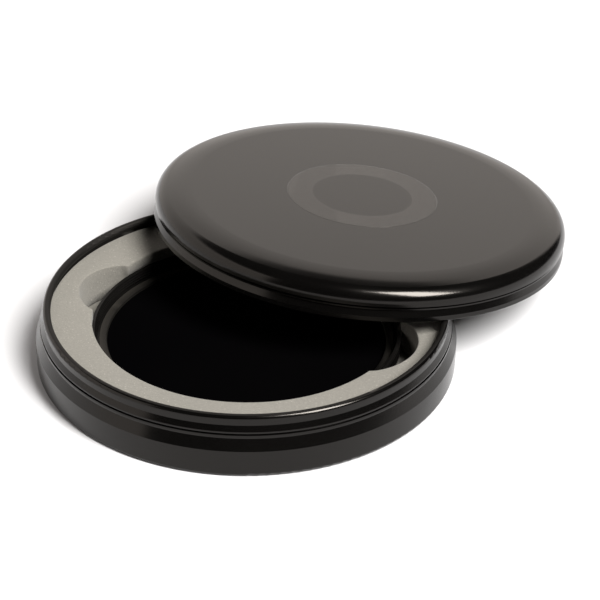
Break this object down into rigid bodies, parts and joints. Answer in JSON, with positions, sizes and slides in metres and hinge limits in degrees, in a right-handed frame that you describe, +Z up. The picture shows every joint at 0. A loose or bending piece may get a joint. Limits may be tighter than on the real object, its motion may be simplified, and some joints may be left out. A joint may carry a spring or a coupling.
{
  "type": "optical filter tin",
  "caption": "Round black tin for one threaded optical filter: the filter lies in a notched foam nest, and the domed lid leans open on the rim.",
  "frame": {"origin": "centre of the tin's flat underside", "axes": "+Z up along the tin's own axis; -Y towards the viewer, and the open lid leans back and to the right, towards +X +Y"},
  "size_m": [0.1369, 0.1507, 0.0279],
  "materials": {
    "black_anodised": "satin black anodised",
    "grey_foam": "fine closed-cell foam, matte",
    "filter_metal": "fine matte black anodised",
    "dark_glass": "polished, nearly opaque neutral density"
  },
  "bodies": {
    "tin_base": {"base_shell": "black_anodised", "foam_floor_pad": "grey_foam", "foam_nest": "grey_foam"},
    "filter": {"filter_frame": "filter_metal", "filter_glass": "dark_glass", "filter_retaining_ring": "filter_metal"},
    "lid": {"lid_shell": "black_anodised", "lid_liner": "grey_foam"}
  },
  "joints": [
    {"name": "filter_lift", "type": "slide", "parent": "tin_base", "child": "filter", "axis": [0, 0, 1], "range_m": [0, 0.03]},
    {"name": "lid_lift", "type": "slide", "parent": "filter", "child": "lid", "axis": [0, 0, 1], "range_m": [0, 0.08]}
  ]
}
